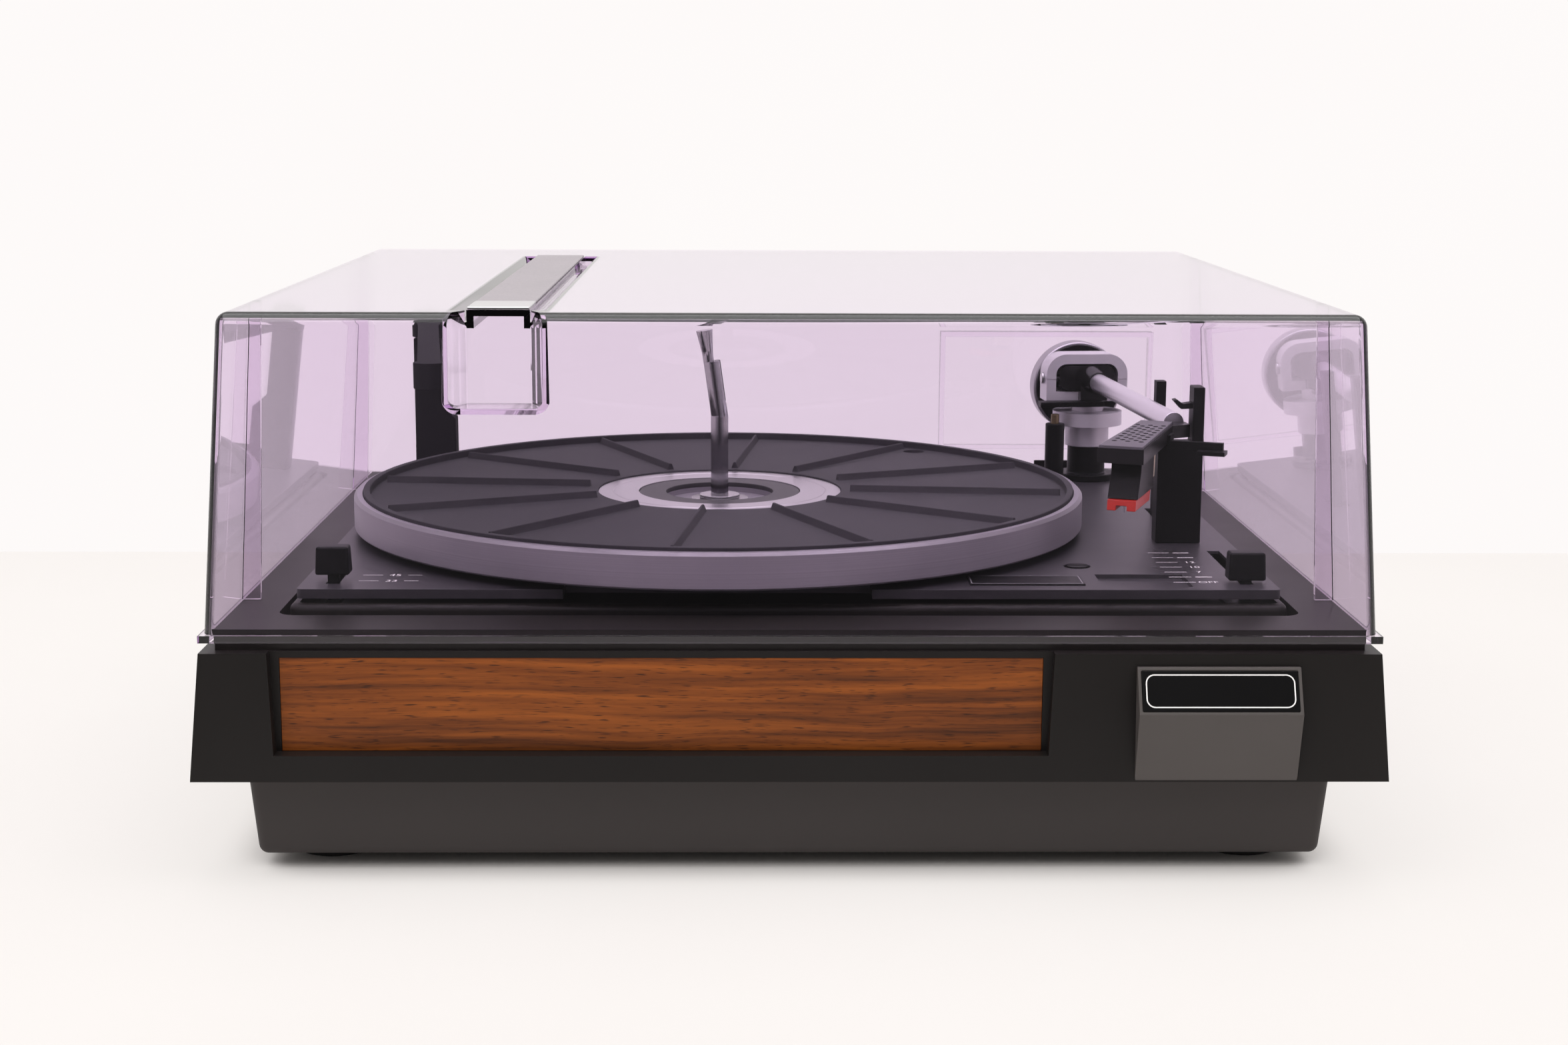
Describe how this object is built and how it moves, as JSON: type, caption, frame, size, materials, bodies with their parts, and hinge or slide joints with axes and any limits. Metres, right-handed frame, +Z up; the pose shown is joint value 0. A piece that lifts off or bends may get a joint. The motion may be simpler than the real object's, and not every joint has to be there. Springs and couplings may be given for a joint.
{
  "type": "record player turntable",
  "caption": "Belt driven automatic record changer turntable on a flared plinth with a wood front inlay, pivoted tonearm, overarm and a hinged tinted dust cover.",
  "frame": {"origin": "centre of the object's footprint, on the surface its feet stand on", "axes": "X to the right as seen from the front, Y from the front to the hinges at the back, Z up"},
  "size_m": [0.4, 0.356, 0.1925],
  "materials": {
    "charcoal_plastic": "moulded charcoal plastic, satin, faint grain",
    "pan_plastic": "dull charcoal moulding",
    "rubber": "black rubber",
    "screw_steel": "zinc plated steel",
    "walnut": "walnut veneer, grain along the front",
    "gloss_black": "gloss black",
    "deck_paint": "charcoal paint on pressed steel, satin",
    "spring_steel": "bright spring steel",
    "zinc": "dull zinc plate",
    "label_foil": "brushed aluminium foil",
    "platter_alloy": "satin pressing with a bright rim line",
    "mat_rubber": "dark grey ribbed rubber",
    "bright_alloy": "spun and polished aluminium",
    "hub_plastic": "black plastic",
    "brass": "turned brass",
    "gear_nylon": "natural nylon",
    "chrome": "chromed steel",
    "dark_plastic": "black plastic, satin",
    "arm_metal": "silver paint",
    "weight_steel": "turned steel",
    "grille_metal": "grey perforated sheet",
    "cream_plastic": "cream plastic",
    "red_plastic": "red plastic",
    "stylus_metal": "thin alloy tube with a diamond",
    "smoked_acrylic": "clear acrylic with a violet grey tint",
    "strip_vinyl": "black grained vinyl"
  },
  "bodies": {
    "base": {"plinth_shell": "charcoal_plastic", "base_pan": "pan_plastic", "rubber_feet": "rubber", "foot_screws": "screw_steel", "base_screws": "screw_steel", "wood_panel": "walnut", "badge_housing": "charcoal_plastic", "name_plate": "gloss_black", "cable_grommets": "rubber", "unit_plate": "deck_paint", "suspension_springs": "spring_steel", "transit_screws": "zinc", "label_plate": "label_foil", "bearing_tube": "spring_steel", "thrust_race": "spring_steel", "retaining_clip": "spring_steel", "drive_belt": "rubber", "motor_body": "zinc", "motor_grommets": "rubber", "changer_spindle": "chrome", "overarm_post": "dark_plastic", "arm_base": "dark_plastic", "arm_pillar": "arm_metal", "arm_rest": "dark_plastic", "arm_clip": "dark_plastic", "cue_post": "dark_plastic", "hinge_bases": "dark_plastic"},
    "platter_set": {"platter": "platter_alloy", "platter_mat": "mat_rubber", "trim_ring": "bright_alloy", "hub_ring": "hub_plastic"},
    "motor_rotor": {"motor_pulley": "brass"},
    "cycle": {"cycle_gear": "gear_nylon"},
    "pusher": {"spindle_pusher": "dark_plastic"},
    "overarm_set": {"overarm": "dark_plastic"},
    "arm_carrier": {"arm_yoke": "arm_metal", "pivot_screws": "screw_steel"},
    "arm_set": {"arm_socket": "dark_plastic", "arm_tube": "bright_alloy", "headshell": "dark_plastic", "headshell_grille": "grille_metal", "finger_lift": "dark_plastic", "cartridge_bracket": "cream_plastic", "cartridge_body": "gloss_black", "stylus_holder": "red_plastic", "stylus_tip": "stylus_metal", "lift_plate": "dark_plastic"},
    "weight_set": {"counterweight": "weight_steel", "counterweight_cap": "dark_plastic"},
    "cue_lever_set": {"cue_lever": "dark_plastic"},
    "cue_pin_set": {"cue_pin": "brass"},
    "speed_set": {"speed_lever": "spring_steel", "speed_knob": "dark_plastic"},
    "program_set": {"program_lever": "spring_steel", "program_knob": "dark_plastic"},
    "cover_set": {"dust_cover": "smoked_acrylic", "cover_strip": "strip_vinyl", "strip_end_plate": "label_foil", "hinge_leaves": "dark_plastic", "hinge_pins": "screw_steel"}
  },
  "joints": [
    {"name": "platter_spin", "type": "hinge", "parent": "base", "child": "platter_set", "pos_m": [-0.026, -0.0006, 0.104], "axis": [0, 0, 1], "continuous": true},
    {"name": "motor_spin", "type": "hinge", "parent": "base", "child": "motor_rotor", "pos_m": [-0.123, 0.0554, 0.09], "axis": [0, 0, 1], "continuous": true},
    {"name": "cycle_turn", "type": "hinge", "parent": "base", "child": "cycle", "pos_m": [-0.00325, -0.04, 0.096], "axis": [0, 0, 1], "continuous": true},
    {"name": "pusher_tilt", "type": "hinge", "parent": "base", "child": "pusher", "pos_m": [-0.02454, -0.0006, 0.14266], "axis": [0, 1, 0], "range_deg": [0, 6]},
    {"name": "overarm_swing", "type": "hinge", "parent": "base", "child": "overarm_set", "pos_m": [-0.157, 0.118, 0.156], "axis": [0, 0, 1], "range_deg": [0, 40]},
    {"name": "arm_swing", "type": "hinge", "parent": "base", "child": "arm_carrier", "pos_m": [0.138, 0.118, 0.13], "axis": [0, 0, -1], "range_deg": [0, 36]},
    {"name": "arm_lift", "type": "hinge", "parent": "arm_carrier", "child": "arm_set", "pos_m": [0.138, 0.118, 0.138], "axis": [-0.9969, -0.0785, 0], "range_deg": [-0.35, 1.6]},
    {"name": "weight_set_back", "type": "slide", "parent": "arm_set", "child": "weight_set", "axis": [-0.0785, 0.9969, 0], "range_m": [0, 0.006]},
    {"name": "cue_lever_tilt", "type": "hinge", "parent": "base", "child": "cue_lever_set", "pos_m": [0.1545, 0.028, 0.0872], "axis": [1, 0, 0], "range_deg": [0, 20]},
    {"name": "cue_pin_rise", "type": "slide", "parent": "base", "child": "cue_pin_set", "axis": [0, 0, 1], "range_m": [0, 0.003]},
    {"name": "speed_slide", "type": "slide", "parent": "base", "child": "speed_set", "axis": [0, 1, 0], "range_m": [0, 0.021]},
    {"name": "program_slide", "type": "slide", "parent": "base", "child": "program_set", "axis": [0, 1, 0], "range_m": [0, 0.055]},
    {"name": "cover_open", "type": "hinge", "parent": "base", "child": "cover_set", "pos_m": [0, 0.1749, 0.0796], "axis": [-1, 0, 0], "range_deg": [0, 65]}
  ],
  "couplings": [
    {"joint": "motor_spin", "follows": "platter_spin", "ratio": 8.9886},
    {"joint": "cue_pin_rise", "follows": "cue_lever_tilt", "m_per_rad": 0.008586}
  ]
}
